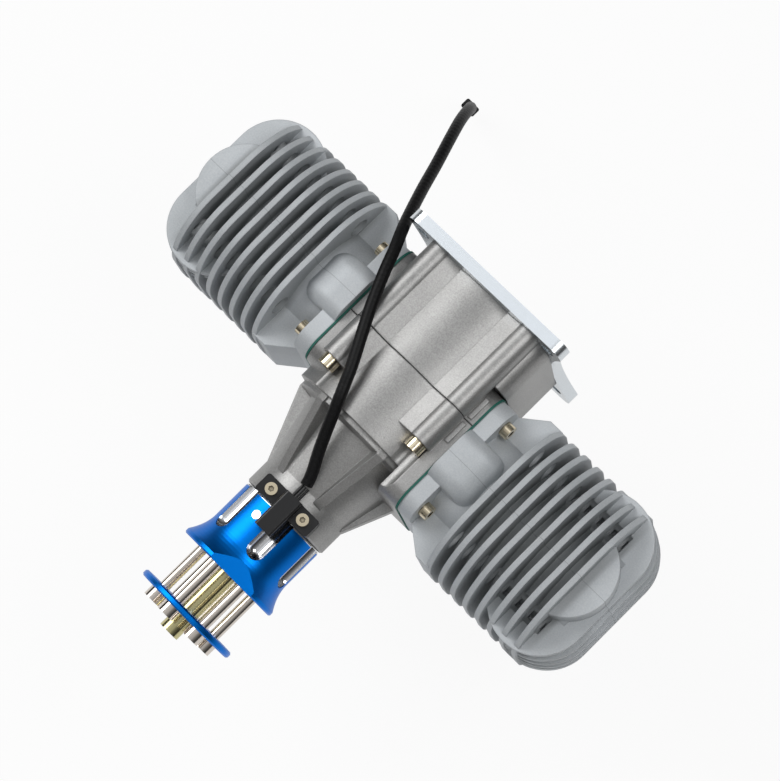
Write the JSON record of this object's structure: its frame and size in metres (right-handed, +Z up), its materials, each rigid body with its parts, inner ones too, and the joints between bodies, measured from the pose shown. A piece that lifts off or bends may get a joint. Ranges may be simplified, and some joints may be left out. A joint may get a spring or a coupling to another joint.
{
  "type": "opposed twin model aircraft engine",
  "caption": "Horizontally opposed air-cooled two-stroke aircraft engine with finned cylinders, ribbed nose, blue propeller hub, rear mounting plate and ignition sensor.",
  "frame": {"origin": "centre of the four firewall bolt holes, on the rear face of the mounting plate and on the crankshaft's axis", "axes": "+Y from the propeller to the firewall along the crankshaft, +X along the forward cylinder, +Z up, away from the carburettor"},
  "size_m": [0.266, 0.2796, 0.1655],
  "materials": {
    "plate_aluminium": "satin, bright machined edges",
    "case_casting": "matte, bead blasted",
    "cylinder_casting": "matte cast",
    "machined_aluminium": "satin, machined",
    "carb_casting": "matte die cast",
    "piston_aluminium": "satin, turned",
    "blue_anodised": "bright blue anodised",
    "nickel_steel": "bright, champagne nickel plated",
    "bright_steel": "bright plated",
    "crank_steel": "ground",
    "bearing_steel": "ground",
    "ring_iron": "ground",
    "yellow_zinc": "yellow zinc plated",
    "magnet": "nickel plated magnet",
    "zinc_plate": "zinc plated sheet",
    "brass": "turned",
    "bearing_cage": "cage and rollers",
    "plug_ceramic": "glazed ceramic and plated steel",
    "green_gasket": "pressed gasket sheet",
    "black_gasket": "pressed gasket sheet",
    "seal_rubber": "matte",
    "black_plastic": "matte moulded",
    "black_sleeve": "braided sleeve",
    "carbon_petal": "carbon laminate",
    "phenolic": "phenolic board",
    "pump_cover_grey": "moulded"
  },
  "bodies": {
    "engine": {"mounting_plate": "plate_aluminium", "crankcase_rear": "case_casting", "crankcase_front": "case_casting", "crankcase_gasket": "black_gasket", "crankcase_bolts": "nickel_steel", "cylinder_left": "cylinder_casting", "cylinder_right": "cylinder_casting", "cylinder_gasket_left": "green_gasket", "cylinder_gasket_right": "green_gasket", "cylinder_bolts_left": "nickel_steel", "cylinder_bolts_right": "nickel_steel", "spark_plug_left": "plug_ceramic", "spark_plug_right": "plug_ceramic", "rear_bearing": "bearing_steel", "front_bearing": "bearing_steel", "nose_bearing": "bearing_steel", "front_oil_seal": "seal_rubber", "sensor_housing": "black_plastic", "sensor_screws": "nickel_steel", "sensor_lead": "black_sleeve", "lead_connector": "black_plastic", "reed_block": "machined_aluminium", "reed_petals": "carbon_petal", "intake_manifold": "machined_aluminium", "manifold_screws": "nickel_steel", "carb_insulator": "phenolic", "carburettor_body": "carb_casting", "fuel_pump_cover": "pump_cover_grey", "metering_cover": "zinc_plate", "cover_screws": "nickel_steel", "carburettor_bolts": "nickel_steel", "throttle_spring": "bearing_steel", "mixture_screws": "brass", "fuel_nipple": "brass"},
    "crank": {"crankshaft_front": "crank_steel", "crank_middle_web": "crank_steel", "crankshaft_rear": "crank_steel", "prop_hub": "blue_anodised", "hub_key": "crank_steel", "timing_magnet": "magnet", "prop_washer": "blue_anodised", "prop_bolts": "bright_steel", "centre_stud": "yellow_zinc"},
    "piston_left": {"piston_left": "piston_aluminium", "piston_rings_left": "ring_iron", "wrist_pin_left": "crank_steel", "con_rod_left": "crank_steel", "rod_bearings_left": "bearing_cage", "crankpin_left": "crank_steel"},
    "piston_right": {"piston_right": "piston_aluminium", "piston_rings_right": "ring_iron", "wrist_pin_right": "crank_steel", "con_rod_right": "crank_steel", "rod_bearings_right": "bearing_cage", "crankpin_right": "crank_steel"},
    "throttle": {"throttle_shaft": "bearing_steel", "throttle_plate": "brass"},
    "choke": {"choke_shaft": "bearing_steel", "choke_plate": "brass"}
  },
  "joints": [
    {"name": "crank_spin", "type": "hinge", "parent": "engine", "child": "crank", "pos_m": [0, -0.1, 0], "axis": [0, 1, 0], "continuous": true},
    {"name": "piston_right_slide", "type": "slide", "parent": "engine", "child": "piston_right", "axis": [1, 0, 0], "range_m": [-0.0388, 0]},
    {"name": "piston_left_slide", "type": "slide", "parent": "engine", "child": "piston_left", "axis": [1, 0, 0], "range_m": [0, 0.0388]},
    {"name": "throttle_turn", "type": "hinge", "parent": "engine", "child": "throttle", "pos_m": [0, -0.0385, -0.065], "axis": [1, 0, 0], "range_deg": [0, 75], "stiffness_Nm_per_rad": 0.02, "springref_deg": -20.05},
    {"name": "choke_turn", "type": "hinge", "parent": "engine", "child": "choke", "pos_m": [0, -0.0195, -0.065], "axis": [1, 0, 0], "range_deg": [0, 75]}
  ],
  "couplings": [
    {"joint": "piston_left_slide", "follows": "piston_right_slide", "ratio": -1}
  ]
}
